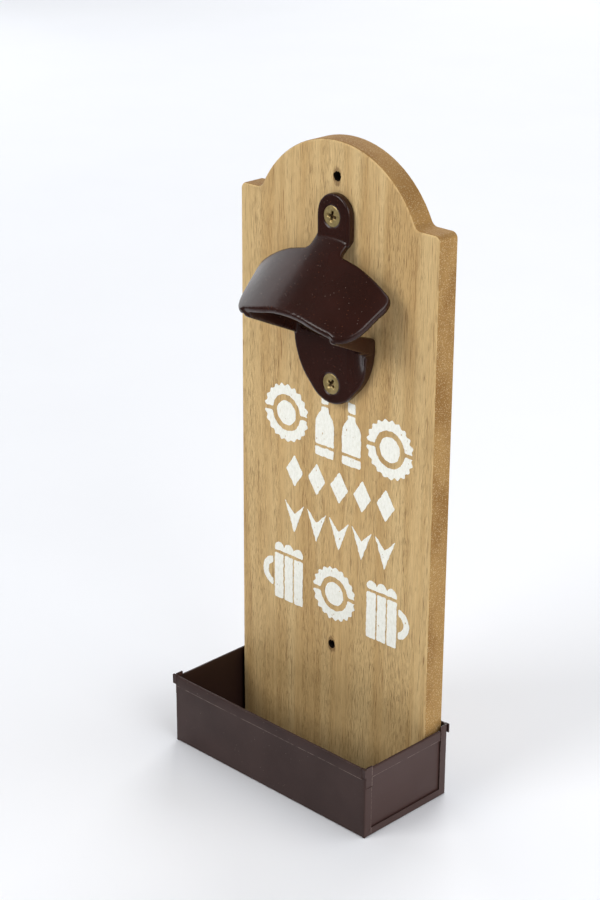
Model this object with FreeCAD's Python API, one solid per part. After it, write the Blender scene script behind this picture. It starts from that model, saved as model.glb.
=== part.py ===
"""Wall-mounted souvenir bottle opener: a veneered board, a cast opener and a cap-catching tray.

Frame: +Z up, the opener faces -Y, origin at the bottom centre of the bounding box. Millimetres.
Every function that ends in a noun of the object returns the solid of one separate piece.
"""
import FreeCAD, Part

import math
import os
from FreeCAD import Vector

# ---- tray: folded steel sheet -------------------------------------------------------------
sheet = 0.6              # thickness of the coated sheet
tray_length = 105.1      # across the end flanges
tray_depth = 46.4        # over the front and back walls, hems left out
tray_height = 30.1
tray_back_height = 31.0  # the back rim stands a little higher than the front one
hem_height = 4.6         # strip folded back at the rim of the front and back walls
end_hem_height = 4.1     # strip folded back at the rim of an end panel
end_rim_drop = 0.8       # the end panels stop this far below the front and back rims
flange_width = 3.75      # upright strip folded round each corner onto an end panel
flange_foot = 3.4        # the same strip along the bottom edge
flange_pad = 0.15        # bulge where the flange passes over the folded corner of the rim
hem_reach = 0.5          # the front and back hems run this far past the flanges
flange_pad_height = 8.6
hem_gap = 0.2            # between an end panel's hem and the flanges beside it

# ---- board: fibreboard core between two veneers -------------------------------------------
board_width = 100.0
board_thickness = 10.0
veneer = 0.5
shoulder_right_z = 226.7     # the two shoulders were cut by hand and differ a little
shoulder_left_z = 227.9
dome_x = -0.5
dome_centre_z = 209.5
dome_radius = 42.8
shoulder_fillet = 3.3    # inside corner between shoulder and dome
corner_radius = 2.5      # outer top corners
front_edge_radius = 1.1
back_edge_radius = 0.6
wall_hole_x = 0.5
wall_hole_low_z = 50.3
wall_hole_high_z = 239.3
wall_hole_radius = 2.0

# ---- opener: one casting --------------------------------------------------------------------
opener_x = 1.5           # the casting sits this far right of the board's middle
hood_x = -0.7            # the hood leans this far to the left of the tab's middle
plate = 3.0              # tab thickness
tab_half_width = 7.9
tab_top_z = 233.4
bend_z = 217.0
hood_slope = 1.1         # distance from the board gained per unit of height lost
hood_radius = 47.0       # horizontal sections of the hood are arcs of this radius
lip_back = 1.0           # the hood's inner face is its outer face moved back and down
lip_down = 2.3
cheek_inner = 16.6       # half the clear width of the mouth
cheek_outer = 19.3
cheek_flare = 0.155      # each cheek leans outwards by this share of its distance from the board
jaw_thickness = 3.5
jaw_bottom_z = 152.9
jaw_bottom_radius = 12.8
jaw_side_radius = 26.5
jaw_side_z = 178.0       # height where the jaw plate's sides become upright
jaw_ear_z = 181.0
jaw_edge_side_z = 179.6  # height of the hooking edge at the cheeks and in the middle
jaw_edge_middle_z = 178.4
cheek_low_z = 176.9      # height of the cheeks' lower edge at the board

# ---- fasteners ------------------------------------------------------------------------------
opener_screw_high_z = 224.9
opener_screw_high_x = 0.6    # this hole was drilled a little left of the tab's middle
opener_screw_low_z = 160.6
opener_screw_low_x = 1.5
countersunk_radius = 4.0
countersunk_rim = 0.35
countersink_clearance = 0.2
opener_screw_radius = 2.0
opener_screw_length = 12.0
opener_hole_radius = 2.25
tray_screw_x = 30.0
tray_screw_z = 15.0
tray_screw_radius = 1.5
tray_screw_length = 8.0
tray_screw_head_radius = 3.5
screw_point = 2.2
cross_depth = 1.5
cross_width = 1.25
cross_reach = 2.35

# ---- stencilled ornament --------------------------------------------------------------------
paint = 0.12

# ---- derived planes -------------------------------------------------------------------------
half_length = tray_length / 2
half_depth = tray_depth / 2
board_back_y = half_depth - sheet
board_front_y = board_back_y - board_thickness


# ---- small geometry helpers -----------------------------------------------------------------
def box(x0, x1, y0, y1, z0, z1):
    return Part.makeBox(x1 - x0, y1 - y0, z1 - z0, Vector(x0, y0, z0))


def cylinder_y(x, z, radius, y_start, y_end):
    """Round bar along Y from y_start to y_end."""
    direction = Vector(0, math.copysign(1, y_end - y_start), 0)
    return Part.makeCylinder(radius, abs(y_end - y_start), Vector(x, y_start, z), direction)


def cone_y(x, z, radius_start, radius_end, y_start, y_end):
    direction = Vector(0, math.copysign(1, y_end - y_start), 0)
    length = abs(y_end - y_start)
    return Part.makeCone(radius_start, radius_end, length, Vector(x, y_start, z), direction)


def front_point(point, y=0.0):
    """A point of an outline drawn in the front view, as (x, z)."""
    return Vector(point[0], y, point[1])


def outline_face(steps, y):
    """Face in the plane y. Each step is a point, or a pair of points for an arc through the first."""
    edges = []
    start = here = steps[0]
    for step in steps[1:] + [start]:
        if isinstance(step[0], tuple):
            via, end = step
            arc = Part.Arc(front_point(here, y), front_point(via, y), front_point(end, y))
            edges.append(arc.toShape())
        else:
            end = step
            if math.hypot(end[0] - here[0], end[1] - here[1]) > 1e-6:
                edges.append(Part.makeLine(front_point(here, y), front_point(end, y)))
        here = end
    return Part.Face(Part.Wire(edges))


def slab(steps, y0, y1):
    """Outline in the front view, extruded from y0 to y1."""
    return outline_face(steps, y0).extrude(Vector(0, y1 - y0, 0))


def side_profile(points, x0, x1):
    """Polygon of (y, z) points extruded from x0 to x1."""
    corners = [Vector(x0, y, z) for y, z in points]
    wire = Part.makePolygon(corners + [corners[0]])
    return Part.Face(wire).extrude(Vector(x1 - x0, 0, 0))


def polar(centre, radius, degrees):
    angle = math.radians(degrees)
    return (centre[0] + radius * math.cos(angle), centre[1] + radius * math.sin(angle))


def mirrored(steps):
    """The same outline steps with left and right exchanged, walked the other way."""
    flipped = []
    backwards = list(reversed(steps))
    here = backwards[0]
    end = here[1] if isinstance(here[0], tuple) else here
    flipped.append((-end[0], end[1]))
    for index, step in enumerate(backwards[:-1]):
        following = backwards[index + 1]
        target = following[1] if isinstance(following[0], tuple) else following
        target = (-target[0], target[1])
        if isinstance(step[0], tuple):
            flipped.append(((-step[0][0], step[0][1]), target))
        else:
            flipped.append(target)
    return flipped


# ---- board ------------------------------------------------------------------------------------
def board_side(half, shoulder_z):
    """Outline from the floor up one side to the dome; x is measured from the dome's middle."""
    fillet_z = shoulder_z + shoulder_fillet
    reach = dome_radius + shoulder_fillet
    fillet_x = math.sqrt(reach ** 2 - (fillet_z - dome_centre_z) ** 2)
    blend = dome_radius / reach
    dome_end = (fillet_x * blend, dome_centre_z + (fillet_z - dome_centre_z) * blend)
    leave_angle = math.degrees(math.atan2(dome_end[1] - fillet_z, dome_end[0] - fillet_x)) % 360
    fillet_via = polar((fillet_x, fillet_z), shoulder_fillet, (270 + leave_angle) / 2)
    corner = (half - corner_radius, shoulder_z - corner_radius)
    return [
        (half, sheet),
        (half, corner[1]),
        (polar(corner, corner_radius, 45), (corner[0], shoulder_z)),
        (fillet_x, shoulder_z),
        (fillet_via, dome_end),
    ]


def board_blank():
    """Domed board with rounded edges, before it is split into core and veneers."""
    right = board_side(board_width / 2 - dome_x, shoulder_right_z)
    left = mirrored(board_side(board_width / 2 + dome_x, shoulder_left_z))
    steps = right + [((0, dome_centre_z + dome_radius), left[0])] + left[1:]
    blank = slab(steps, board_front_y, board_back_y)
    blank.translate(Vector(dome_x, 0, 0))
    front_edges = [e for e in blank.Edges if on_plane_y(e, board_front_y) and not on_floor(e)]
    blank = blank.makeFillet(front_edge_radius, front_edges)
    back_edges = [e for e in blank.Edges if on_plane_y(e, board_back_y) and not on_floor(e)]
    return blank.makeFillet(back_edge_radius, back_edges)


def on_plane_y(edge, y):
    bounds = edge.BoundBox
    return abs(bounds.YMin - y) < 1e-4 and abs(bounds.YMax - y) < 1e-4


def on_floor(edge):
    bounds = edge.BoundBox
    return bounds.ZMax < sheet + 1e-4


def drilled(board):
    """Wall holes through the board, and the bores that its screws have cut."""
    for z in (wall_hole_low_z, wall_hole_high_z):
        board = board.cut(cylinder_y(wall_hole_x, z, wall_hole_radius, -half_depth, half_depth))
    for x, z, front in opener_holes():
        board = board.cut(opener_screw_body(x, z, front))
    for side in (-1, 1):
        board = board.cut(tray_screw_body(side * tray_screw_x))
    return board


def board_layer(y0, y1):
    layer = board_blank().common(box(-board_width, board_width, y0, y1, 0, 300))
    return drilled(layer)


# ---- fasteners ----------------------------------------------------------------------------------
def opener_holes():
    """(x, z, front face) of the casting's upper and lower screw holes."""
    upper = (opener_screw_high_x, opener_screw_high_z, board_front_y - plate)
    lower = (opener_screw_low_x, opener_screw_low_z, board_front_y - jaw_thickness)
    return upper, lower


def opener_screw_body(x, z, front):
    """Countersunk wood screw without its cross recess."""
    top = front + countersink_clearance
    rim_end = top + countersunk_rim
    cone_end = rim_end + countersunk_radius - opener_screw_radius
    shank_end = top + opener_screw_length - screw_point
    body = cylinder_y(x, z, countersunk_radius, top, rim_end)
    body = body.fuse(cone_y(x, z, countersunk_radius, opener_screw_radius, rim_end, cone_end))
    body = body.fuse(cylinder_y(x, z, opener_screw_radius, cone_end, shank_end))
    point_end = shank_end + screw_point
    body = body.fuse(cone_y(x, z, opener_screw_radius, 0.2, shank_end, point_end))
    return body.removeSplitter()


def cross_recess(x, z, y_top, inward, turn):
    """Tapered cross driven into a screw head; inward is the sign of Y into the head."""
    arms = None
    for angle in (turn, turn + 90):
        half = cross_reach
        width = cross_width / 2
        corners = [
            Vector(-half, 0, width),
            Vector(half, 0, width),
            Vector(half * 0.35, inward * cross_depth, width),
            Vector(-half * 0.35, inward * cross_depth, width),
        ]
        wire = Part.makePolygon(corners + [corners[0]])
        arm = Part.Face(wire).extrude(Vector(0, 0, -cross_width))
        arm.rotate(Vector(0, 0, 0), Vector(0, 1, 0), angle)
        arms = arm if arms is None else arms.fuse(arm)
    arms.translate(Vector(x, y_top, z))
    return arms


def opener_screw(x, z, front, turn):
    recess = cross_recess(x, z, front + countersink_clearance, 1, turn)
    return opener_screw_body(x, z, front).cut(recess)


def tray_screw_body(x):
    """Wafer-head screw from behind: its head is no thicker than the back hem."""
    end = half_depth - tray_screw_length
    shank_end = end + screw_point
    body = cylinder_y(x, tray_screw_z, tray_screw_head_radius, half_depth + sheet, half_depth)
    body = body.fuse(cylinder_y(x, tray_screw_z, tray_screw_radius, half_depth, shank_end))
    body = body.fuse(cone_y(x, tray_screw_z, tray_screw_radius, 0.2, shank_end, end))
    return body.removeSplitter()


def tray_screw(x):
    recess = cross_recess(x, tray_screw_z, half_depth + sheet, -1, 30)
    return tray_screw_body(x).cut(recess)


# ---- opener ---------------------------------------------------------------------------------------
def hood_surface():
    """Sloping curved sheet: a horizontal arc carried down and away from the board."""
    top_z = bend_z + 6
    rise = 48.0
    half = 40.0
    middle_y = board_front_y - plate + hood_slope * (top_z - bend_z)
    edge_y = middle_y + hood_radius - math.sqrt(hood_radius ** 2 - half ** 2)
    arc = Part.Arc(Vector(-half, edge_y, top_z), Vector(0, middle_y, top_z), Vector(half, edge_y, top_z))
    return arc.toShape().extrude(Vector(0, -hood_slope * rise, -rise))


def hood_outline():
    """Front view of hood and neck: arched lip, rounded lobes, wing tips, concave neck corners."""
    right = [
        (9.0, 193.8),
        ((16.8, 192.0), (21.8, 190.8)),
        ((27.2, 190.0), (30.4, 193.0)),
        (32.1, 198.2),
        ((32.5, 201.3), (30.4, 203.6)),
        ((20.9, 209.1), (10.2, 212.2)),
        ((8.4, 213.0), (7.8, 214.6)),
        (tab_half_width, bend_z + 1),
    ]
    left = mirrored(right)
    return right + left + [((0, 194.6), right[0])]


def hood():
    face = hood_surface().common(slab(hood_outline(), -60, 40))
    curved_plate = face.Faces[0].extrude(Vector(0, lip_back, -lip_down))
    plate = curved_plate.common(box(-board_width, board_width, -board_width, board_front_y, 0, 300))
    plate.translate(Vector(hood_x, 0, 0))
    return plate


def tab():
    """Upright tab with a half-round top; its lower end runs into the neck."""
    # (distance from the board, height)
    points = [
        (0.0, tab_top_z),
        (plate, tab_top_z),
        (plate, bend_z - 0.9),
        (2.2, bend_z - 2.4),
        (0.0, bend_z - 0.4),
    ]
    profile = [(board_front_y - distance, z) for distance, z in points]
    strip = side_profile(profile, -tab_half_width, tab_half_width)
    centre_z = tab_top_z - tab_half_width
    steps = [
        (-tab_half_width, bend_z - 5),
        (tab_half_width, bend_z - 5),
        (tab_half_width, centre_z),
        ((0, tab_top_z), (-tab_half_width, centre_z)),
    ]
    return strip.common(slab(steps, board_front_y - plate - 1, board_front_y + 1))


def cheek(side):
    """Side wall of the mouth: a band from the jaw's ear out to the underside of the hood."""
    # (distance from the board, height), walked from the ear round to the lip
    points = [
        (0.0, cheek_low_z),
        (jaw_thickness, cheek_low_z),
        (25.6, cheek_low_z + 10.2),
        (25.9, 190.6),
        (24.0, 192.4),
        (15.0, 200.6),
        (14.6, 190.2),
        (13.4, 187.6),
        (11.0, 186.1),
        (1.2, 182.5),
        (0.4, 182.0),
        (0.0, 181.2),
    ]
    corners = []
    for distance, z in points:
        x = side * (cheek_inner + cheek_flare * distance)
        corners.append(Vector(x, board_front_y - distance, z))
    wire = Part.makePolygon(corners + [corners[0]])
    return Part.Face(wire).extrude(Vector(side * (cheek_outer - cheek_inner), 0, 0))


def jaw_plate():
    """Shield-shaped plate against the board; the cap's skirt hooks over its dished top edge."""
    centre = (0.0, jaw_bottom_z + jaw_bottom_radius)
    leave = polar(centre, jaw_bottom_radius, -40)
    side_centre_x = cheek_outer - jaw_side_radius
    side_start = (
        side_centre_x + jaw_side_radius * math.cos(math.radians(40)),
        jaw_side_z - jaw_side_radius * math.sin(math.radians(40)),
    )
    side_middle = (
        side_centre_x + jaw_side_radius * math.cos(math.radians(20)),
        jaw_side_z - jaw_side_radius * math.sin(math.radians(20)),
    )
    right = [
        leave,
        side_start,
        (side_middle, (cheek_outer, jaw_side_z)),
        (cheek_outer, jaw_ear_z),
        (cheek_inner, jaw_ear_z),
        (cheek_inner, jaw_edge_side_z),
    ]
    left = mirrored(right)
    hooking_edge = [((0, jaw_edge_middle_z), left[0])]
    steps = right + hooking_edge + left[1:] + [((0, jaw_bottom_z), leave)]
    return slab(steps, board_front_y - jaw_thickness, board_front_y)


def opener():
    body = hood().fuse([tab(), cheek(-1), cheek(1), jaw_plate()])
    body = body.removeSplitter()
    body.translate(Vector(opener_x, 0, 0))
    wide = countersunk_radius + countersink_clearance + countersunk_rim
    depth = wide - opener_hole_radius
    for x, z, front in opener_holes():
        body = body.cut(cylinder_y(x, z, opener_hole_radius, front - 1, board_front_y + 1))
        body = body.cut(cone_y(x, z, wide, opener_hole_radius, front, front + depth))
    return body


# ---- tray -------------------------------------------------------------------------------------------
def tray_body():
    """Front, bottom and back in one sheet, with hemmed rims and flanges folded round the ends."""
    pad_reach = half_length + flange_pad
    rim_reach = half_length + hem_reach
    pieces = []
    for wall, rim in ((-1, tray_height), (1, tray_back_height)):
        face_y = wall * half_depth
        wall_y = sorted((face_y, face_y - wall * sheet))
        hem_y = sorted((face_y, face_y + wall * sheet))
        flange_y = sorted((face_y, face_y - wall * flange_width))
        pieces.append(box(-half_length, half_length, *wall_y, 0, rim))
        pieces.append(box(-rim_reach, rim_reach, *hem_y, rim - hem_height, rim))
        for side in (-1, 1):
            flange_x = sorted((side * (half_length - sheet), side * half_length))
            pad_x = sorted((side * half_length, side * pad_reach))
            pieces.append(box(*flange_x, *flange_y, 0, rim))
            pieces.append(box(*pad_x, *flange_y, rim - flange_pad_height, rim))
    for side in (-1, 1):
        flange_x = sorted((side * (half_length - sheet), side * half_length))
        pieces.append(box(*flange_x, -half_depth, half_depth, 0, flange_foot))
    floor = box(-half_length, half_length, -half_depth, half_depth, 0, sheet)
    body = floor.fuse(pieces).removeSplitter()
    for side in (-1, 1):
        hole = cylinder_y(side * tray_screw_x, tray_screw_z, tray_screw_radius, 0, half_depth)
        body = body.cut(hole)
    return body


def tray_end(side):
    """End panel inside the flanges, its rim folded outwards and level with the flanges' faces."""
    inner = half_length - 2 * sheet
    outer = half_length - sheet
    rim = tray_height - end_rim_drop
    x0, x1 = sorted((side * inner, side * outer))
    panel = box(x0, x1, -half_depth + sheet, half_depth - sheet, sheet, rim)
    h0, h1 = sorted((side * outer, side * half_length))
    reach = half_depth - flange_width - hem_gap
    hem = box(h0, h1, -reach, reach, rim - end_hem_height, rim)
    return panel.fuse(hem).removeSplitter()


# ---- stencilled ornament ------------------------------------------------------------------------------
def painted(steps):
    return slab(steps, board_front_y - paint, board_front_y)


def disc(x, z, radius):
    return cylinder_y(x, z, radius, board_front_y - paint, board_front_y)


def crown_cap(x, z, radius):
    """Fluted cap seen from above: a toothed ring round a plain disc."""
    teeth = 21
    points = []
    for step in range(teeth * 4):
        angle = 2 * math.pi * step / (teeth * 4)
        reach = radius * (0.95 + 0.05 * math.cos(teeth * angle))
        points.append(Vector(x + reach * math.cos(angle), board_front_y, z + reach * math.sin(angle)))
    curve = Part.BSplineCurve()
    curve.interpolate(Points=points, PeriodicFlag=True)
    toothed = Part.Face(Part.Wire(curve.toShape())).extrude(Vector(0, -paint, 0))
    ring = toothed.cut(disc(x, z, radius * 0.62))
    bridge = box(x - radius, x + radius, board_front_y - 1, board_front_y + 1, z - 0.8, z + 0.8)
    return ring.cut(bridge).Solids + [disc(x, z, radius * 0.42)]


def bottle(x, z, height):
    """Standing bottle cut in two by a stencil bridge at its shoulder."""
    body = height * 0.19
    neck = height * 0.075
    shoulder = z + height * 0.52
    neck_z = z + height * 0.72
    top = z + height
    right = [
        (x + body, z),
        (x + body, shoulder),
        ((x + body * 0.80, (shoulder + neck_z) / 2 + height * 0.015), (x + neck, neck_z)),
        (x + neck, top),
    ]
    left = [
        (x - neck, top),
        (x - neck, neck_z),
        ((x - body * 0.80, (shoulder + neck_z) / 2 + height * 0.015), (x - body, shoulder)),
        (x - body, z),
    ]
    solid = painted(right + left)
    gap = height * 0.045
    bridge_z = z + height * 0.80
    bridge = box(x - body, x + body, board_front_y - 1, board_front_y + 1, bridge_z, bridge_z + gap)
    label_z = z + height * 0.14
    label = box(x - body, x + body, board_front_y - 1, board_front_y + 1, label_z, label_z + gap)
    return solid.cut(bridge).cut(label).Solids


def mug(x, z, height, side):
    """Handled mug with a foam top; two upright slots separate its staves."""
    half = height * 0.30
    foam_z = z + height * 0.80
    lobe = half / 3
    steps = [(x - half, foam_z), (x - half, foam_z + lobe * 0.6)]
    for index in range(3):
        start = x - half + 2 * lobe * index
        rise = lobe * (0.95 if index == 1 else 0.8)
        steps.append(((start + lobe, foam_z + lobe * 0.6 + rise), (start + 2 * lobe, foam_z + lobe * 0.6)))
    steps.append((x + half, foam_z))
    foam = painted(steps)
    stave_top = foam_z - height * 0.05
    staves = []
    for index in range(3):
        left = x - half + 2 * lobe * index + (0.35 if index else 0.0)
        right = x - half + 2 * lobe * (index + 1) - (0.35 if index < 2 else 0.0)
        staves.append(painted([(left, z), (right, z), (right, stave_top), (left, stave_top)]))
    handle_z = z + height * 0.42
    handle_x = x + side * half
    handle = disc(handle_x, handle_z, height * 0.25).cut(disc(handle_x, handle_z, height * 0.14))
    clear = half + 0.9
    keep_x = sorted((x + side * clear, x + side * (clear + height)))
    handle = handle.common(box(keep_x[0], keep_x[1], board_front_y - 1, board_front_y + 1, z, foam_z))
    return [foam] + staves + handle.Solids


def diamond(x, z, half_width, half_height):
    steps = [(x - half_width, z), (x, z - half_height), (x + half_width, z), (x, z + half_height)]
    return [painted(steps)]


def arrowhead(x, z, half_width, height):
    """Notched arrowhead pointing down to the tray."""
    steps = [
        (x - half_width, z + height),
        (x, z),
        (x + half_width, z + height),
        (x, z + height * 0.62),
    ]
    return [painted(steps)]


def stencil_print():
    """Four rows: caps and bottles, diamonds, arrowheads, mugs and a cap."""
    patches = crown_cap(-25.0, 141.0, 12.0) + bottle(-4.5, 128.5, 25.5)
    patches += bottle(9.5, 128.5, 25.5) + crown_cap(29.0, 141.0, 12.0)
    for index in range(5):
        patches += diamond(-20.5 + 12.0 * index, 118.0, 4.6, 6.6)
    for index in range(5):
        patches += arrowhead(-20.5 + 12.0 * index, 91.5, 5.2, 13.0)
    patches += mug(-23.5, 60.5, 26.0, -1) + crown_cap(1.5, 72.5, 11.6) + mug(26.5, 60.5, 26.0, 1)
    return Part.makeCompound(patches)


# ---- output ----------------------------------------------------------------------------------------------
def pieces():
    core_front = board_front_y + veneer
    core_back = board_back_y - veneer
    upper_hole, lower_hole = opener_holes()
    return {
        "board_core": board_layer(core_front, core_back),
        "front_veneer": board_layer(board_front_y, core_front),
        "back_veneer": board_layer(core_back, board_back_y),
        "stencil_print": stencil_print(),
        "opener": opener(),
        "opener_screw_upper": opener_screw(*upper_hole, 10),
        "opener_screw_lower": opener_screw(*lower_hole, 35),
        "tray_body": tray_body(),
        "tray_end_left": tray_end(-1),
        "tray_end_right": tray_end(1),
        "tray_screw_left": tray_screw(-tray_screw_x),
        "tray_screw_right": tray_screw(tray_screw_x),
    }


def main():
    os.makedirs("parts", exist_ok=True)
    for name, shape in pieces().items():
        shape.exportStep("parts/" + name + ".step")
        bounds = shape.BoundBox
        print(name, "solids", len(shape.Solids), "valid", shape.isValid(), "volume", round(shape.Volume, 1),
              "x", round(bounds.XMin, 2), round(bounds.XMax, 2), "y", round(bounds.YMin, 2),
              round(bounds.YMax, 2), "z", round(bounds.ZMin, 2), round(bounds.ZMax, 2))


main()
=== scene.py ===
"""Looks of the wall-mounted bottle opener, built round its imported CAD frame.

Lengths in the code are millimetres unless a name says otherwise; MM turns them into metres.
"""
import math
import random

import bmesh
import bpy
from mathutils import Matrix, Vector, noise


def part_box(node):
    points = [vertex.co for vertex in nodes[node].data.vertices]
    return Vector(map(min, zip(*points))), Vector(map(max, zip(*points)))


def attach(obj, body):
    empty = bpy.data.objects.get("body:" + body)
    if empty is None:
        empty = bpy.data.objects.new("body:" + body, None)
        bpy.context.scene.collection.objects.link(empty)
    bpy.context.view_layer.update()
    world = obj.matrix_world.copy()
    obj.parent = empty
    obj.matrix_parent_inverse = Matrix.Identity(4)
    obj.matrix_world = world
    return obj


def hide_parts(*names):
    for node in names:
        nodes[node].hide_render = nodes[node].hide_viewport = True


MM = 0.001
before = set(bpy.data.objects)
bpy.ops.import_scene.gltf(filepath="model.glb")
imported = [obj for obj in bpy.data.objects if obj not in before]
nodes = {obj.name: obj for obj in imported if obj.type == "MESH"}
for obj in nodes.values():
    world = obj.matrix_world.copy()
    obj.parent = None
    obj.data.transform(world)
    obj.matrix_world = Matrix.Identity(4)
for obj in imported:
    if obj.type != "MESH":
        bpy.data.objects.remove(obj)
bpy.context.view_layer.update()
scene = bpy.context.scene


def box_mm(node):
    low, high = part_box(node)
    return low / MM, high / MM


TRAY_HIGH = box_mm("tray_body")[1]
BOARD_FRONT = box_mm("front_veneer")[0].y
WALL_HOLE_X = 0.5
WALL_HOLES_Z = (50.3, 239.3)
BORE_WALL = (2.12, 2.04)           # the bore's painted shade fades in between these radii
SCREW_HEADS_Y = (9.3, 9.8)         # front of the lower and the upper opener screw

# folded tray
SHEET = 0.6
HEM = 4.6
END_HEM = 4.1
FLANGE = 3.75
FOOT = 3.4
PAD_HEIGHT = 8.6
FRONT_RIM = 30.1
END_RIM = 29.3
BACK_RIM = TRAY_HIGH.z
WALL_Y = TRAY_HIGH.y - SHEET       # outer face of the front and back walls
REACH_X = TRAY_HIGH.x              # ends of the rim hems
END_X = REACH_X - 0.5              # outer face of the flanges


# ---- shader graphs --------------------------------------------------------------------------
class Graph:
    """A material with one Principled shader and short ways to add nodes before it."""

    def __init__(self, name, **constants):
        self.material = bpy.data.materials.new(name)
        self.material.use_nodes = True
        self.tree = self.material.node_tree
        self.shader = self.tree.nodes["Principled BSDF"]
        for key, value in constants.items():
            self.shader.inputs[key.replace("_", " ")].default_value = value
        coords = self.tree.nodes.new("ShaderNodeTexCoord")
        self.place = self.mapped(coords.outputs["Object"], (1 / MM, 1 / MM, 1 / MM))

    def add(self, kind, inputs, **settings):
        node = self.tree.nodes.new("ShaderNode" + kind)
        for key, value in settings.items():
            setattr(node, key, value)
        for key, value in inputs.items():
            if isinstance(value, bpy.types.NodeSocket):
                self.tree.links.new(value, node.inputs[key])
            else:
                node.inputs[key].default_value = value
        return node

    def mapped(self, vector, scale, offset=(0, 0, 0)):
        node = self.add("Mapping", {"Vector": vector, "Scale": scale, "Location": offset})
        return node.outputs[0]

    def noise(self, frequency, detail=2.0, roughness=0.5, distortion=0.0, offset=(0, 0, 0)):
        """Noise whose frequency is per millimetre along each axis."""
        vector = self.mapped(self.place, frequency, offset)
        inputs = {"Vector": vector, "Scale": 1.0, "Detail": detail}
        inputs.update({"Roughness": roughness, "Distortion": distortion})
        return self.add("TexNoise", inputs).outputs[0]

    def specks(self, spacing, size, offset=(0, 0, 0)):
        """1 inside small dots scattered about one per cell of this spacing, 0 elsewhere."""
        vector = self.mapped(self.place, (1 / spacing,) * 3, offset)
        cells = self.add("TexVoronoi", {"Vector": vector, "Scale": 1.0})
        return self.step(cells.outputs["Distance"], size / spacing, size / spacing * 0.5)

    def step(self, value, start, end):
        """0 at start, 1 at end, clamped."""
        inputs = {"Value": value, "From Min": start, "From Max": end}
        return self.add("MapRange", inputs, interpolation_type="SMOOTHSTEP").outputs[0]

    def between(self, value, low, high):
        """A noise value spread evenly over this range."""
        inputs = {"Value": value, "From Min": 0.3, "From Max": 0.7, "To Min": low, "To Max": high}
        return self.add("MapRange", inputs).outputs[0]

    def math(self, operation, first, second=0.0):
        return self.add("Math", {0: first, 1: second}, operation=operation).outputs[0]

    def mix(self, factor, first, second, blend="MIX"):
        node = self.add("Mix", {}, data_type="RGBA", blend_type=blend)
        for index, value in ((0, factor), (6, first), (7, second)):
            if isinstance(value, bpy.types.NodeSocket):
                self.tree.links.new(value, node.inputs[index])
            elif index:
                node.inputs[index].default_value = (*value, 1.0)
            else:
                node.inputs[index].default_value = value
        return node.outputs[2]

    def cover(self, color, mask, strength, tint):
        """The colour with this share of a tint wherever the mask is 1."""
        return self.mix(self.math("MULTIPLY", mask, strength), color, tint)

    def split(self, vector):
        return self.add("SeparateXYZ", {"Vector": vector}).outputs

    def normal(self):
        return self.split(self.add("NewGeometry", {}).outputs["Normal"])

    def send(self, **sockets):
        for key, value in sockets.items():
            self.tree.links.new(value, self.shader.inputs[key.replace("_", " ")])

    def bump(self, height, distance, strength=1.0):
        """Bump from a height of 0 to 1 that stands for this many millimetres."""
        inputs = {"Height": height, "Distance": distance * MM, "Strength": strength}
        self.send(Normal=self.add("Bump", inputs).outputs[0])


def srgb(red, green, blue):
    """Scene-linear colour of an 8-bit display colour."""
    values = []
    for channel in (red, green, blue):
        value = channel / 255
        values.append(value / 12.92 if value <= 0.04045 else ((value + 0.055) / 1.055) ** 2.4)
    return tuple(values)


def shade(color, factor):
    """The colour made darker or lighter by a factor, clipped at white."""
    return tuple(min(1.0, channel * factor) for channel in color)


def hole_distance(g, z, squash=1.0):
    """Distance from the wall hole's axis at this height, with heights counted at a share."""
    centred = g.mapped(g.place, (1.0, 0.0, squash), (-WALL_HOLE_X, 0, -z * squash))
    return g.add("VectorMath", {0: centred}, operation="LENGTH").outputs["Value"]


def near(g, value, centre, width):
    """1 where the value is within this width of the centre, fading to 0."""
    return g.step(g.math("ABSOLUTE", g.math("SUBTRACT", value, centre)), width * 1.5, width * 0.6)


GRAIN_BROWN = srgb(128, 84, 44)


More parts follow.
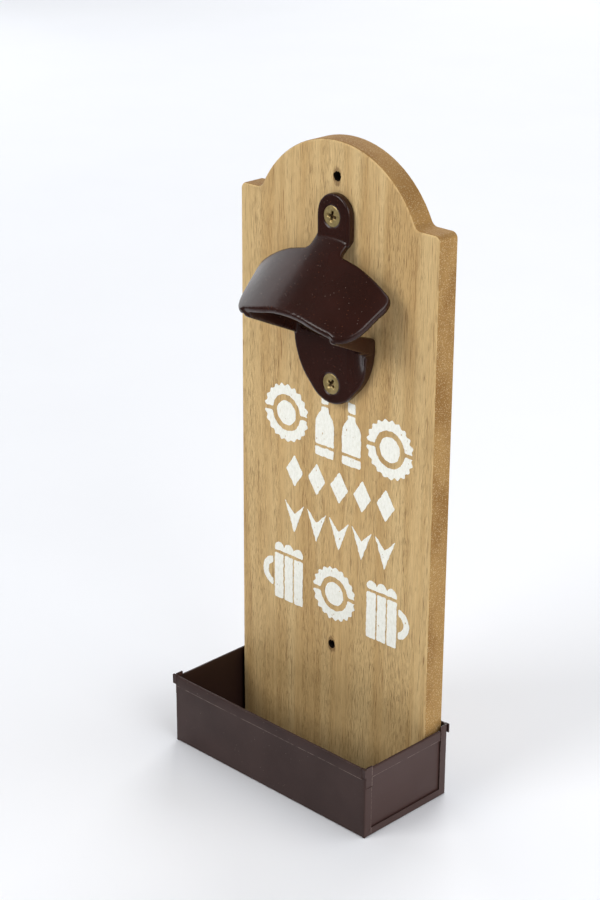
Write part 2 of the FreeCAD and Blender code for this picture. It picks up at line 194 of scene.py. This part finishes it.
def wood_veneer(name, light, dark, holes):
    g = Graph(name, Roughness=0.66, Specular_IOR_Level=0.22)
    bands = g.noise((0.13, 0.05, 0.005), detail=3.0, distortion=0.5)
    streaks = g.noise((1.1, 0.4, 0.018), detail=5.0, roughness=0.7, distortion=0.15)
    fibres = g.noise((5.5, 1.0, 0.16), detail=4.0, roughness=0.65)
    pores = g.noise((5.0, 0.8, 0.24), detail=3.0, roughness=0.6, offset=(5, 0, 9))
    busy = g.step(g.noise((0.22, 0.1, 0.012), detail=3.0, offset=(1, 0, 4)), 0.36, 0.62)
    crowd = g.math("ADD", g.math("MULTIPLY", busy, 0.65), 0.35)
    pore_mask = g.math("MULTIPLY", g.step(pores, 0.54, 0.63), crowd)
    figure = g.noise((0.55, 0.2, 0.011), detail=3.0, roughness=0.55, offset=(9, 0, 2))
    lines = near(g, g.math("FRACT", g.math("MULTIPLY", figure, 9.0)), 0.5, 0.07)
    lines = g.math("MULTIPLY", lines, g.step(g.noise((0.8, 0.4, 0.05), detail=3.0), 0.42, 0.58))
    blotches = g.noise((0.03, 0.03, 0.018), detail=3.0)
    color = g.mix(g.step(bands, 0.32, 0.68), light, dark)
    color = g.cover(color, g.step(streaks, 0.45, 0.72), 0.34, shade(dark, 0.66))
    color = g.cover(color, g.step(fibres, 0.42, 0.66), 0.30, shade(light, 1.2))
    color = g.cover(color, lines, 0.62, GRAIN_BROWN)
    color = g.cover(color, pore_mask, 0.42, GRAIN_BROWN)
    color = g.cover(color, g.step(blotches, 0.4, 0.7), 0.22, shade(dark, 0.8))
    rounding = g.step(g.math("ABSOLUTE", g.normal()[1]), 0.97, 0.75)
    wear = g.math("MULTIPLY", rounding, g.step(g.noise((0.5, 0.5, 0.12), detail=4.0), 0.4, 0.6))
    color = g.cover(color, wear, 0.45, shade(light, 1.2))
    torn = g.math("MULTIPLY", g.noise((1.6, 1.6, 0.4), detail=4.0), 2.0)
    behind = g.step(g.split(g.place)[1], BOARD_FRONT + 0.02, BOARD_FRONT + 0.2)
    for z in holes:
        ragged = g.math("ADD", hole_distance(g, z, 0.55), torn)
        color = g.cover(color, g.step(ragged, 3.3, 2.6), 0.6, srgb(94, 58, 28))
        # painted shade: the wall hole's bore is coloured near black
        bore_shade = g.math("MULTIPLY", g.step(hole_distance(g, z), *BORE_WALL), behind)
        color = g.mix(bore_shade, color, (0.012, 0.007, 0.004))
    g.send(Base_Color=color)
    height = g.math("SUBTRACT", g.math("MULTIPLY", fibres, 0.4), g.math("MULTIPLY", pore_mask, 0.9))
    g.bump(height, 0.10)
    return g.material


def fibreboard():
    g = Graph("fibreboard_edge", Roughness=0.75, Specular_IOR_Level=0.25)
    broad = g.noise((0.05, 0.08, 0.05), detail=4.0)
    grit = g.noise((2.6, 2.6, 2.6), detail=4.0, roughness=0.72)
    base, deep, pale = srgb(188, 148, 90), srgb(156, 114, 60), srgb(232, 206, 158)
    color = g.mix(g.step(broad, 0.35, 0.7), base, deep)
    color = g.cover(color, g.step(grit, 0.42, 0.62), 0.45, deep)
    big_dots = g.math("MULTIPLY", g.specks(1.3, 0.34, offset=(8, 2, 5)), 0.8)
    dots = g.math("MAXIMUM", g.specks(0.62, 0.22), big_dots)
    color = g.cover(color, dots, 0.6, pale)
    pits = g.specks(1.1, 0.24, offset=(3, 1, 2))
    color = g.cover(color, pits, 0.6, shade(deep, 0.42))
    # painted shade: faces of the edge that look upwards are darkened
    upward_shade = g.step(g.normal()[2], 0.25, 0.75)
    color = g.cover(color, upward_shade, 0.42, shade(deep, 0.55))
    # painted shade: the wall holes' bores in the core are coloured near black
    for z in WALL_HOLES_Z:
        color = g.mix(g.step(hole_distance(g, z), *BORE_WALL), color, (0.02, 0.012, 0.007))
    g.send(Base_Color=color)
    g.bump(g.math("ADD", g.math("MULTIPLY", grit, 0.6), g.math("MULTIPLY", dots, 0.4)), 0.12)
    return g.material


def enamel():
    g = Graph("brown_enamel", Specular_IOR_Level=0.36)
    swirl = g.noise((0.06, 0.06, 0.06), detail=3.0)
    fine = g.noise((1.4, 1.4, 1.4), detail=3.0)
    color = g.mix(g.step(swirl, 0.3, 0.7), srgb(50, 21, 14), srgb(41, 16, 9))
    patchy = g.step(g.noise((0.12, 0.12, 0.12), detail=2.0), 0.40, 0.58)
    pale_dust = g.math("MULTIPLY", g.specks(1.7, 0.18), patchy)
    rust_dust = g.math("MULTIPLY", g.specks(1.4, 0.15, offset=(4, 9, 2)), patchy)
    color = g.cover(color, pale_dust, 0.55, srgb(158, 140, 130))
    color = g.cover(color, rust_dust, 0.6, srgb(150, 92, 58))
    g.send(Base_Color=color)
    g.send(Roughness=g.between(fine, 0.21, 0.27))
    g.bump(g.math("ADD", g.math("MULTIPLY", fine, 0.3), g.noise((0.35, 0.35, 0.35))), 0.014)
    return g.material


def tray_coating():
    g = Graph("tray_coating", Specular_IOR_Level=0.31)
    broad = g.noise((0.05, 0.05, 0.05), detail=4.0)
    fine = g.noise((3.0, 3.0, 3.0), detail=3.0, roughness=0.6)
    color = g.mix(g.step(broad, 0.35, 0.7), srgb(53, 33, 29), srgb(46, 27, 23))
    color = g.cover(color, g.step(fine, 0.45, 0.7), 0.25, srgb(70, 46, 41))
    patchy = g.step(g.noise((0.05, 0.05, 0.05), detail=2.0, offset=(7, 7, 7)), 0.46, 0.60)
    dust = g.math("MULTIPLY", g.specks(1.9, 0.17), patchy)
    color = g.cover(color, dust, 0.5, srgb(158, 142, 134))
    x, y, z = g.split(g.place)
    # painted light: faces that look sideways, such as the ends, are lightened
    sideways_light = g.step(g.math("ABSOLUTE", g.normal()[0]), 0.6, 0.9)
    color = g.cover(color, sideways_light, 0.8, srgb(78, 55, 50))
    scuffs = g.step(g.noise((0.35, 0.35, 0.9), detail=4.0, roughness=0.65, offset=(2, 5, 1)), 0.34, 0.60)
    far_x, far_y = g.math("ABSOLUTE", x), g.math("ABSOLUTE", y)
    # painted shade: faces inside the tray, clear of the outer walls and ends, are darkened
    off_ends = g.step(far_x, END_X - 0.9, END_X - 1.1)
    off_walls = g.step(far_y, WALL_Y - 0.3, WALL_Y - 0.5)
    color = g.cover(color, g.math("MULTIPLY", off_ends, off_walls), 0.8, srgb(38, 19, 15))
    # Pale line along the lower edges of the hems and flanges, fading towards the back: partly wear, partly
    # a painted highlight on the rounded folds.
    on_wall = g.step(far_y, WALL_Y + 0.1, WALL_Y + 0.2)
    on_end = g.step(far_x, END_X - 0.3, END_X - 0.2)
    front_lip = g.math("MULTIPLY", on_wall, near(g, z, FRONT_RIM - HEM, 0.22))
    end_lip = g.math("MULTIPLY", on_end, near(g, z, END_RIM - END_HEM, 0.22))
    end_lip = g.math("MULTIPLY", end_lip, g.step(far_y, WALL_Y - FLANGE, WALL_Y - FLANGE - 0.4))
    flange_lip = g.math("MULTIPLY", on_end, near(g, far_y, WALL_Y - FLANGE, 0.2))
    fading = g.math("SUBTRACT", 1.0, g.math("MULTIPLY", g.step(y, 0.0, 1.0), 0.6))
    flange_lip = g.math("MULTIPLY", flange_lip, fading)
    worn = g.math("MAXIMUM", front_lip, g.math("MAXIMUM", end_lip, flange_lip))
    color = g.cover(color, g.math("MULTIPLY", worn, scuffs), 0.5, srgb(150, 130, 122))
    g.send(Base_Color=color)
    g.send(Roughness=g.between(broad, 0.40, 0.50))
    g.bump(fine, 0.012)
    return g.material


def yellow_zinc():
    g = Graph("yellow_zinc", Metallic=0.75, Roughness=0.32)
    broad = g.noise((0.5, 0.5, 0.5), detail=3.0)
    scratches = g.noise((6.0, 6.0, 0.7), detail=3.0)
    color = g.mix(g.step(broad, 0.3, 0.7), srgb(226, 202, 142), srgb(196, 170, 112))
    color = g.cover(color, g.step(scratches, 0.5, 0.7), 0.3, srgb(120, 96, 60))
    y, z = g.split(g.place)[1:]
    low, high = SCREW_HEADS_Y
    head = g.math("ADD", low, g.math("MULTIPLY", g.step(z, 188, 190), high - low))
    depth = g.math("SUBTRACT", y, head)
    # painted shade: the recesses in the opener screws' heads are darkened
    recess_shade = g.math("MULTIPLY", g.step(depth, 0.25, 0.8), g.step(z, 90, 100))
    color = g.cover(color, recess_shade, 0.9, srgb(64, 40, 20))
    g.send(Base_Color=color)
    g.bump(scratches, 0.02)
    return g.material


def stencil_paint():
    g = Graph("stencil_paint", Roughness=0.75, Specular_IOR_Level=0.2)
    chalk = g.noise((1.2, 1.2, 0.5), detail=5.0, roughness=0.7)
    thin = g.noise((2.4, 1.0, 0.3), detail=4.0, roughness=0.7, offset=(3, 3, 3))
    color = g.mix(g.step(chalk, 0.35, 0.7), srgb(252, 252, 244), srgb(238, 238, 227))
    color = g.cover(color, g.step(thin, 0.58, 0.75), 0.5, srgb(214, 198, 160))
    g.send(Base_Color=color)
    g.bump(chalk, 0.06)
    return g.material


def floor_paint():
    g = Graph("pale_floor", Roughness=0.55, Specular_IOR_Level=0.2)
    mottled = g.noise((0.01, 0.01, 0.01), detail=4.0)
    g.send(Base_Color=g.mix(mottled, (0.845, 0.858, 0.895), (0.875, 0.888, 0.925)))
    return g.material


FRONT_WOOD = wood_veneer("front_veneer_wood", srgb(219, 189, 136), srgb(196, 160, 106), WALL_HOLES_Z)
BACK_WOOD = wood_veneer("back_veneer_wood", srgb(206, 178, 132), srgb(180, 148, 100), ())
FIBREBOARD = fibreboard()
ENAMEL = enamel()
TRAY_COATING = tray_coating()
YELLOW_ZINC = yellow_zinc()
PAINT = stencil_paint()


# ---- meshes ---------------------------------------------------------------------------------
def piece(name, mesh, material, replaced):
    """A shown object that rides on the root body and stands for CAD nodes."""
    obj = bpy.data.objects.new(name, mesh)
    scene.collection.objects.link(obj)
    mesh.materials.clear()
    mesh.materials.append(material)
    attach(obj, "root")
    if replaced:
        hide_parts(*replaced)
    return obj


def soft_cast(node, voxel, rounds):
    """The node's shape as an even mesh with its edges rounded and its inner corners filled."""
    source = bpy.data.objects.new("source", nodes[node].data.copy())
    scene.collection.objects.link(source)
    weld = source.modifiers.new("weld", "WELD")
    weld.merge_threshold = 1e-6
    remesh = source.modifiers.new("remesh", "REMESH")
    remesh.mode = "VOXEL"
    remesh.voxel_size = voxel * MM
    remesh.adaptivity = 0.0
    smooth = source.modifiers.new("smooth", "SMOOTH")
    smooth.factor = 0.5
    smooth.iterations = rounds
    bpy.context.view_layer.update()
    graph = bpy.context.evaluated_depsgraph_get()
    mesh = bpy.data.meshes.new_from_object(source.evaluated_get(graph))
    bpy.data.objects.remove(source)
    mesh.polygons.foreach_set("use_smooth", [True] * len(mesh.polygons))
    return mesh


def cheek_fillet(place, direction):
    """Dishes the jaw's front face where it runs up into the right cheek."""
    if direction.y > -0.3 or place.y < 4.0 or not 162.0 < place.z < 179.5:
        return Vector()
    outward = max(0.0, min(1.0, (place.x - 10.0) / 10.5))
    upward_shade = max(0.0, min(1.0, (place.z - 162.0) / 11.0))
    dish = 0.8 * math.sin(math.pi * outward) - 1.9 * outward ** 2
    return Vector((0, dish * upward_shade ** 1.5, 0))


def make_opener():
    mesh = soft_cast("opener", 0.30, 32)
    directions = [n.vector.copy() for n in mesh.vertex_normals]
    moved = []
    for vertex, direction in zip(mesh.vertices, directions):
        place = vertex.co / MM
        wave = 0.17 + noise.noise(place * 0.11) * 0.06 + noise.noise(place * 0.35) * 0.015
        moved.extend(vertex.co + direction * wave * MM + cheek_fillet(place, direction) * MM)
    mesh.vertices.foreach_set("co", moved)
    piece("opener_casting", mesh, ENAMEL, ["opener"])


def make_screws():
    for node in ("opener_screw_upper", "opener_screw_lower", "tray_screw_left", "tray_screw_right"):
        mesh = soft_cast(node, 0.13, 4)
        piece(node + "_worn", mesh, YELLOW_ZINC, [node])


# ---- stencilled paint ---------------------------------------------------------------------------
def front_loops(node, y):
    """Closed outlines of the node's faces in the plane y that look towards -Y."""
    bm = bmesh.new()
    bm.from_mesh(nodes[node].data)
    bmesh.ops.remove_doubles(bm, verts=bm.verts, dist=1e-6)
    others = [f for f in bm.faces if f.normal.y > -0.9 or abs(f.calc_center_median().y / MM - y) > 0.02]
    bmesh.ops.delete(bm, geom=others, context="FACES")
    open_edges = {e for e in bm.edges if len(e.link_faces) == 1}
    loops = []
    while open_edges:
        edge = min(open_edges, key=lambda e: e.index)
        open_edges.remove(edge)
        start, here = edge.verts
        loop = [start.co.copy(), here.co.copy()]
        while here != start:
            edge = next(e for e in here.link_edges if e in open_edges)
            open_edges.remove(edge)
            here = edge.other_vert(here)
            loop.append(here.co.copy())
        loops.append([Vector((p.x / MM, p.z / MM)) for p in loop[:-1]])
    bm.free()
    return loops


def resampled(loop, spacing):
    """The closed outline with points at even spacing."""
    lengths = [(loop[i] - loop[i - 1]).length for i in range(len(loop))]
    total = sum(lengths)
    count = max(12, round(total / spacing))
    points, index, walked = [], 0, 0.0
    for step in range(count):
        target = total * step / count
        while walked + lengths[(index + 1) % len(loop)] < target:
            index += 1
            walked += lengths[index % len(loop)]
        span = lengths[(index + 1) % len(loop)]
        share = (target - walked) / span if span else 0.0
        points.append(loop[index % len(loop)].lerp(loop[(index + 1) % len(loop)], share))
    return points


def ragged(loop):
    """The outline as a stencil leaves it: rounded corners and a slightly torn edge."""
    points = resampled(loop, 0.3)
    for _ in range(4):
        after = points[1:] + points[:1]
        points = [(points[i - 1] + points[i] * 2 + after[i]) / 4 for i in range(len(points))]
    worn = []
    for i, point in enumerate(points):
        along = points[(i + 1) % len(points)] - points[i - 1]
        outward = Vector((along.y, -along.x)).normalized()
        place = Vector((point.x, 0, point.y))
        wave = noise.noise(place * 0.55) * 0.28 + noise.noise(place * 2.1) * 0.14
        worn.append(point + outward * wave)
    return worn


def inside(point, loops):
    """True if the point is inside an odd number of the loops."""
    crossings = 0
    for loop in loops:
        for i in range(len(loop)):
            a, b = loop[i - 1], loop[i]
            if (a.y > point.y) != (b.y > point.y):
                if point.x < a.x + (point.y - a.y) * (b.x - a.x) / (b.y - a.y):
                    crossings += 1
    return crossings % 2 == 1


def pinholes(loops, count, draws):
    """Small ragged spots that the paint missed, clear of every outline."""
    xs = [p.x for loop in loops for p in loop]
    zs = [p.y for loop in loops for p in loop]
    holes = []
    while len(holes) < count:
        centre = Vector((draws.uniform(min(xs), max(xs)), draws.uniform(min(zs), max(zs))))
        radius = draws.uniform(0.10, 0.28)
        squash = draws.uniform(1.0, 2.4)
        if not inside(centre, loops):
            continue
        room = min((p - centre).length for loop in loops + holes for p in loop)
        if room < radius * squash + 0.35:
            continue
        spot = []
        for step in range(9):
            angle = 2 * math.pi * step / 9
            reach = radius * draws.uniform(0.7, 1.2)
            spot.append(centre + Vector((math.cos(angle) * reach, math.sin(angle) * reach * squash)))
        holes.append(spot)
    return holes


def make_paint():
    low, high = box_mm("stencil_print")
    loops = [ragged(loop) for loop in front_loops("stencil_print", low.y)]
    loops += pinholes(loops, 46, random.Random(11))
    curve = bpy.data.curves.new("paint", "CURVE")
    curve.dimensions = "2D"
    curve.fill_mode = "BOTH"
    curve.extrude = (high.y - low.y) / 2 * MM
    for loop in loops:
        spline = curve.splines.new("POLY")
        spline.points.add(len(loop) - 1)
        spline.use_cyclic_u = True
        for point, target in zip(loop, spline.points):
            target.co = (point.x * MM, point.y * MM, 0.0, 1.0)
    source = bpy.data.objects.new("paint", curve)
    scene.collection.objects.link(source)
    graph = bpy.context.evaluated_depsgraph_get()
    mesh = bpy.data.meshes.new_from_object(source.evaluated_get(graph))
    bpy.data.objects.remove(source)
    middle = (low.y + high.y) / 2 * MM
    mesh.transform(Matrix.Translation((0, middle, 0)) @ Matrix.Rotation(math.pi / 2, 4, "X"))
    piece("stencilled_paint", mesh, PAINT, ["stencil_print"])


# ---- torn fibres round the wall holes -----------------------------------------------------------
# radius, lift off the board (below 0: into the hole) and raggedness of each ring, inside out
FIBRE_RINGS = ((2.03, -0.45, 0.25), (1.95, 0.10, 0.45), (2.3, 0.16, 0.2), (2.9, 0.0, 0.5))
RING_POINTS = 72


def make_hole_fibres():
    """A low ragged ring of lifted veneer at the mouth of each wall hole."""
    for name, z in zip(("hole_fibres_lower", "hole_fibres_upper"), WALL_HOLES_Z):
        bm = bmesh.new()
        rings = []
        for ring, (radius, lift, tear) in enumerate(FIBRE_RINGS):
            verts = []
            for step in range(RING_POINTS):
                angle = 2 * math.pi * step / RING_POINTS
                ray = Vector((math.cos(angle), 0, math.sin(angle)))
                torn = noise.noise(ray * 2.3 + Vector((0, z, ring)))
                torn += 0.6 * noise.noise(ray * 6.0 + Vector((0, z, 0)))
                reach = radius + tear * torn * (-1 if ring < 2 else 1)
                if ring == 0:
                    reach = radius - 0.05
                grain = 1.0 + (0.35 * abs(math.sin(angle)) ** 2 if ring == 3 else 0.0)
                height = max(0.0, lift * (1 + 0.8 * torn)) if lift > 0 else lift
                where = Vector((WALL_HOLE_X, BOARD_FRONT - height, z))
                verts.append(bm.verts.new((where + Vector((ray.x * reach, 0, ray.z * reach * grain))) * MM))
            rings.append(verts)
        for inner, outer in zip(rings, rings[1:]):
            for i in range(RING_POINTS):
                bm.faces.new((inner[i - 1], inner[i], outer[i], outer[i - 1]))
        bmesh.ops.recalc_face_normals(bm, faces=bm.faces)
        bmesh.ops.solidify(bm, geom=bm.faces[:], thickness=0.03 * MM)
        mesh = bpy.data.meshes.new(name)
        bm.to_mesh(mesh)
        bm.free()
        piece(name, mesh, FRONT_WOOD, [])


# ---- folded tray ------------------------------------------------------------------------------------
def arc(centre, radius, start, end, steps=6):
    points = []
    for step in range(steps + 1):
        angle = math.radians(start + (end - start) * step / steps)
        points.append(Vector((centre[0] + radius * math.cos(angle), centre[1] + radius * math.sin(angle))))
    return points


def ribbon(line, thickness):
    """Closed outline of a sheet of this thickness that follows a line of points."""
    left, right = [], []
    for i, point in enumerate(line):
        before = line[max(i - 1, 0)]
        after = line[min(i + 1, len(line) - 1)]
        along = (after - before).normalized()
        side = Vector((-along.y, along.x)) * thickness / 2
        if 0 < i < len(line) - 1:
            first = (point - before).normalized()
            bend = max(0.3, math.sqrt(max(0.0, (1 + first.dot((after - point).normalized())) / 2)))
            side = side / bend
        left.append(point + side)
        right.append(point - side)
    return left + right[::-1]


def sweep(bm, outline, stations, place):
    """Skins an outline carried along stations; place(point, station) gives each vertex in mm."""
    rings = [[bm.verts.new(place(p, s) * MM) for p in outline] for s in stations]
    for a, b in zip(rings, rings[1:]):
        for i in range(len(outline)):
            bm.faces.new((a[i - 1], a[i], b[i], b[i - 1]))
    bm.faces.new(rings[0])
    bm.faces.new(rings[-1][::-1])


def spaced(start, end, step):
    count = max(1, round(abs(end - start) / step))
    return [start + (end - start) * i / count for i in range(count + 1)]


def densified(line, step):
    points = [line[0]]
    for a, b in zip(line, line[1:]):
        count = max(1, round((b - a).length / step))
        points += [a.lerp(b, i / count) for i in range(1, count + 1)]
    return points


def sheet_wave(y, z, x):
    """Slight unevenness of the folded sheet, in mm."""
    return noise.noise(Vector((x * 0.035, y * 0.05, z * 0.06))) * 0.16


def make_tray():
    half = SHEET / 2
    bend = 0.55
    layer = SHEET - 0.03
    sheet_end = END_X - half - bend - 0.6    # the corner strips take over from here
    bm = bmesh.new()
    # front wall, floor and back wall with their hems, as one sheet seen from the end
    wall = WALL_Y - half
    line = [Vector((-WALL_Y - half, FRONT_RIM - HEM))]
    line += arc((-WALL_Y, FRONT_RIM - SHEET), half, 180, 0)
    line += arc((-wall + bend, half + bend), bend, 180, 270)
    line += arc((wall - bend, half + bend), bend, -90, 0)
    line += arc((WALL_Y, BACK_RIM - SHEET), half, 180, 0)
    line += [Vector((WALL_Y + half, BACK_RIM - HEM))]
    outline = ribbon(densified(line, 4.0), layer)

    def along_x(point, x):
        wave = sheet_wave(point.x, point.y, x)
        return Vector((x, point.x + wave * min(1.0, point.y / 10), point.y))

    sweep(bm, outline, spaced(-sheet_end - 0.1, sheet_end + 0.1, 2.0), along_x)
    # flanges folded round the corners, the foot strip and the bulges at the rims
    for side in (-1, 1):
        face = END_X - half
        for wall_side, rim in ((-1, FRONT_RIM), (1, BACK_RIM)):
            corner = arc((face - bend, wall - bend), bend, 90, 0)
            path = [Vector((sheet_end, wall))] + corner + [Vector((face, WALL_Y - FLANGE))]
            section = ribbon(densified(path, 1.3), layer)

            def upright(point, z, side=side, wall_side=wall_side):
                return Vector((side * point.x, wall_side * point.y, z))

            sweep(bm, section, spaced(bend, rim - 0.1, 2.0), upright)
            pad_low, pad_high = rim - PAD_HEIGHT, rim
            x0, x1 = END_X - 0.3, END_X + 0.08
            y0, y1 = WALL_Y - FLANGE, WALL_Y - 0.6
            bulge(bm, side, wall_side, (x0, x1), (y0, y1), (pad_low, pad_high))
            hem_ys = (WALL_Y - 0.02, WALL_Y + SHEET - 0.02)
            bulge(bm, side, wall_side, (sheet_end, REACH_X), hem_ys, (rim - HEM + 0.9, rim))
        corner = arc((face - bend, half + bend), bend, -90, 0)
        path = [Vector((sheet_end, half))] + corner + [Vector((face, FOOT))]
        section = ribbon(densified(path, 1.3), layer)

        def lengthwise(point, y, side=side):
            mitre = max(0.0, WALL_Y - abs(y))
            z = min(point.y, max(half, mitre)) if point.x > face - 1.0 else point.y
            return Vector((side * (point.x + 0.04), y, z))

        sweep(bm, section, spaced(-WALL_Y + 0.3, WALL_Y - 0.3, 0.45), lengthwise)
    bmesh.ops.recalc_face_normals(bm, faces=bm.faces)
    mesh = bpy.data.meshes.new("tray_folded")
    bm.to_mesh(mesh)
    bm.free()
    smooth_by_angle(mesh)
    piece("tray_folded", mesh, TRAY_COATING, ["tray_body"])


def bulge(bm, side, wall_side, xs, ys, zs):
    """Small box with softened edges, mirrored to its side and wall."""
    made = bmesh.ops.create_cube(bm, size=1.0)["verts"]
    for vertex in made:
        x = xs[0] if vertex.co.x < 0 else xs[1]
        y = ys[0] if vertex.co.y < 0 else ys[1]
        z = zs[0] if vertex.co.z < 0 else zs[1]
        vertex.co = Vector((side * x, wall_side * y, z)) * MM
    edges = list({e for v in made for e in v.link_edges})
    bmesh.ops.bevel(bm, geom=edges, offset=0.16 * MM, segments=3, affect="EDGES", profile=0.5)


def smooth_by_angle(mesh, degrees=35):
    mesh.polygons.foreach_set("use_smooth", [True] * len(mesh.polygons))
    bm = bmesh.new()
    bm.from_mesh(mesh)
    for edge in bm.edges:
        if len(edge.link_faces) == 2 and edge.calc_face_angle(0.0) > math.radians(degrees):
            edge.smooth = False
    bm.to_mesh(mesh)
    bm.free()


def make_tray_ends():
    half = SHEET / 2
    layer = SHEET - 0.03
    for side, node in ((-1, "tray_end_left"), (1, "tray_end_right")):
        low, high = box_mm(node)
        rim = high.z
        inner = END_X - 2 * SHEET + half
        outer = END_X - half
        reach = WALL_Y - FLANGE - 0.2
        bm = bmesh.new()
        hemmed = [Vector((outer, rim - END_HEM))] + arc((END_X - SHEET, rim - SHEET), half, 0, 180)
        hemmed += [Vector((inner, low.z))]
        plain = [Vector((inner, rim - SHEET)), Vector((inner, low.z))]
        spans = ((hemmed, -reach, reach), (plain, -high.y, -reach), (plain, reach, high.y))
        for line, start, end in spans:
            outline = ribbon(densified(line, 4.0), layer)

            def lengthwise(point, y, side=side):
                wave = noise.noise(Vector((y * 0.05, point.y * 0.06, side * 3.0))) * 0.12
                return Vector((side * (point.x + wave * min(1.0, point.y / 10) - 0.05), y, point.y))

            sweep(bm, outline, spaced(start, end, 1.5), lengthwise)
        bmesh.ops.recalc_face_normals(bm, faces=bm.faces)
        mesh = bpy.data.meshes.new(node + "_folded")
        bm.to_mesh(mesh)
        bm.free()
        smooth_by_angle(mesh)
        piece(node + "_folded", mesh, TRAY_COATING, [node])


make_opener()
make_screws()
make_paint()
make_hole_fibres()
make_tray()
make_tray_ends()

board_materials = {"front_veneer": FRONT_WOOD, "back_veneer": BACK_WOOD, "board_core": FIBREBOARD}
for node, material in board_materials.items():
    for slot in nodes[node].material_slots:
        slot.material = material


# ---- floor, lights and camera -----------------------------------------------------------------------
def make_floor():
    """Two parts: the front one is kept out of reflections, like a table that ends there."""
    paint = floor_paint()
    half, seam = 6.0, -0.1
    for name, start, end in (("floor_front", -half, seam), ("floor_back", seam, half)):
        mesh = bpy.data.meshes.new(name)
        corners = [(-half, start, 0), (half, start, 0), (half, end, 0), (-half, end, 0)]
        mesh.from_pydata(corners, [], [(0, 1, 2, 3)])
        mesh.materials.append(paint)
        floor = bpy.data.objects.new(name, mesh)
        scene.collection.objects.link(floor)
        floor.visible_glossy = end > 0


def area_light(name, place, target, size, power, color=(1, 1, 1)):
    data = bpy.data.lights.new(name, "AREA")
    data.shape = "RECTANGLE"
    data.size, data.size_y = size
    data.energy = power
    data.color = color
    lamp = bpy.data.objects.new(name, data)
    scene.collection.objects.link(lamp)
    lamp.location = place
    aim = Vector(target) - Vector(place)
    lamp.rotation_euler = aim.to_track_quat("-Z", "Y").to_euler()


def make_camera():
    azimuth, elevation, roll = math.radians(44.6), math.radians(22.02), math.radians(0.29)
    distance, shift_right, target_z, target_y = 762.97, 12.56, 142.81, -23.2
    back = Vector((
        math.sin(azimuth) * math.cos(elevation),
        -math.cos(azimuth) * math.cos(elevation),
        math.sin(elevation),
    ))
    right = Vector((math.cos(azimuth), math.sin(azimuth), 0))
    up = back.cross(right)
    turned_right = right * math.cos(roll) + up * math.sin(roll)
    turned_up = up * math.cos(roll) - right * math.sin(roll)
    data = bpy.data.cameras.new("camera")
    data.sensor_width = 36.0
    data.lens = 83.21
    data.clip_start, data.clip_end = 0.01, 50.0
    camera = bpy.data.objects.new("camera", data)
    scene.collection.objects.link(camera)
    place = Vector((0, target_y, target_z)) + back * distance + turned_right * shift_right
    axes = Matrix((turned_right, turned_up, back)).transposed().to_4x4()
    camera.matrix_world = Matrix.Translation(place * MM) @ axes
    scene.camera = camera


def make_world():
    world = bpy.data.worlds.new("studio")
    world.use_nodes = True
    background = world.node_tree.nodes["Background"]
    background.inputs["Color"].default_value = (0.96, 0.98, 1.0, 1.0)
    background.inputs["Strength"].default_value = 0.13
    scene.world = world


make_floor()
make_world()
area_light("left_window", (-1.5, 0.15, 0.65), (0, 0, 0.15), (1.4, 1.3), 8.0, (0.96, 0.98, 1.0))
area_light("front_softbox", (-0.55, -1.5, 1.15), (0, 0, 0.12), (1.1, 1.1), 20.3, (1.0, 0.99, 0.97))
area_light("top_fill", (0.7, 0.5, 1.6), (0, 0, 0.05), (1.4, 1.4), 12.6)
area_light("right_fill", (1.5, -0.3, 0.9), (0, 0, 0.1), (1.0, 1.0), 10.5)
area_light("back_wash", (-1.3, 2.3, 1.5), (-0.7, 1.1, 0.0), (1.6, 1.0), 36.0)
make_camera()
scene.view_settings.view_transform = "Standard"
